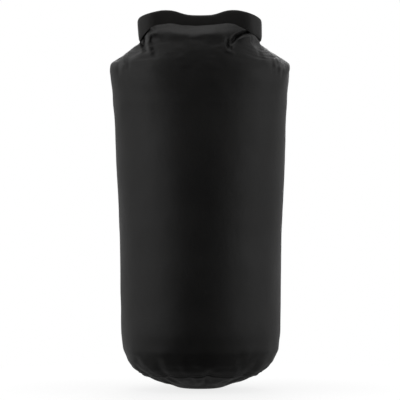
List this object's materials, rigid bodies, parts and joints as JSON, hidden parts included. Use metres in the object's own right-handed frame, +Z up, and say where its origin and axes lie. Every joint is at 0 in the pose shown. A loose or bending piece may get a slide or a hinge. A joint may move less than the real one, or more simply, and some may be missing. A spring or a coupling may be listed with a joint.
{
  "type": "roll-top dry bag",
  "caption": "Filled cylindrical waterproof bag with a round base, a rolled top bent into a loop and a side-release buckle at the back.",
  "frame": {"origin": "middle of the flat foot, on the surface that the bag stands on", "axes": "+Z up, along the bag's axis; -Y is the front, the side opposite the buckle; +X runs along the roll and is the way the male half of the buckle is pulled out"},
  "size_m": [0.262, 0.2276, 0.5443],
  "materials": {
    "cloth": "black coated nylon with a soft satin sheen",
    "webbing": "black ribbed polyester webbing",
    "thread": "black bonded thread",
    "buckle": "black acetal with a fine spark-eroded texture",
    "seam_tape": "translucent grey heat-sealed tape",
    "stiffener": "dark grey sheet plastic"
  },
  "bodies": {
    "bag": {"body_tube": "cloth", "base_panel": "cloth", "base_seam_tape": "seam_tape", "side_seam_tape": "seam_tape", "collar_front": "cloth", "stiffener_front": "stiffener"},
    "handle": {"collar_left": "cloth", "stiffener_left": "stiffener", "collar_right": "cloth", "stiffener_right": "stiffener", "collar_right_tip": "cloth", "webbing_tab_left": "webbing", "bartack_left": "thread", "buckle_female": "buckle"},
    "male_half": {"buckle_male": "buckle", "webbing_tab_right": "webbing", "bartack_right": "thread"},
    "upper_prong": {"prong_upper": "buckle"},
    "lower_prong": {"prong_lower": "buckle"}
  },
  "joints": [
    {"name": "handle_lift", "type": "hinge", "parent": "bag", "child": "handle", "pos_m": [0, -0.017, 0.53325], "axis": [1, 0, 0], "range_deg": [0, 25]},
    {"name": "buckle_withdraw", "type": "slide", "parent": "handle", "child": "male_half", "axis": [1, 0, 0], "range_m": [0, 0.028], "deforming": ["prong_upper", "prong_lower", "collar_right_tip"]},
    {"name": "upper_prong_press", "type": "hinge", "parent": "male_half", "child": "upper_prong", "pos_m": [0.011, 0.04035, 0.5255], "axis": [0, -1, 0], "range_deg": [0, 8], "stiffness_Nm_per_rad": 0.2},
    {"name": "lower_prong_press", "type": "hinge", "parent": "male_half", "child": "lower_prong", "pos_m": [0.011, 0.04035, 0.5065], "axis": [0, 1, 0], "range_deg": [0, 8], "stiffness_Nm_per_rad": 0.2}
  ]
}
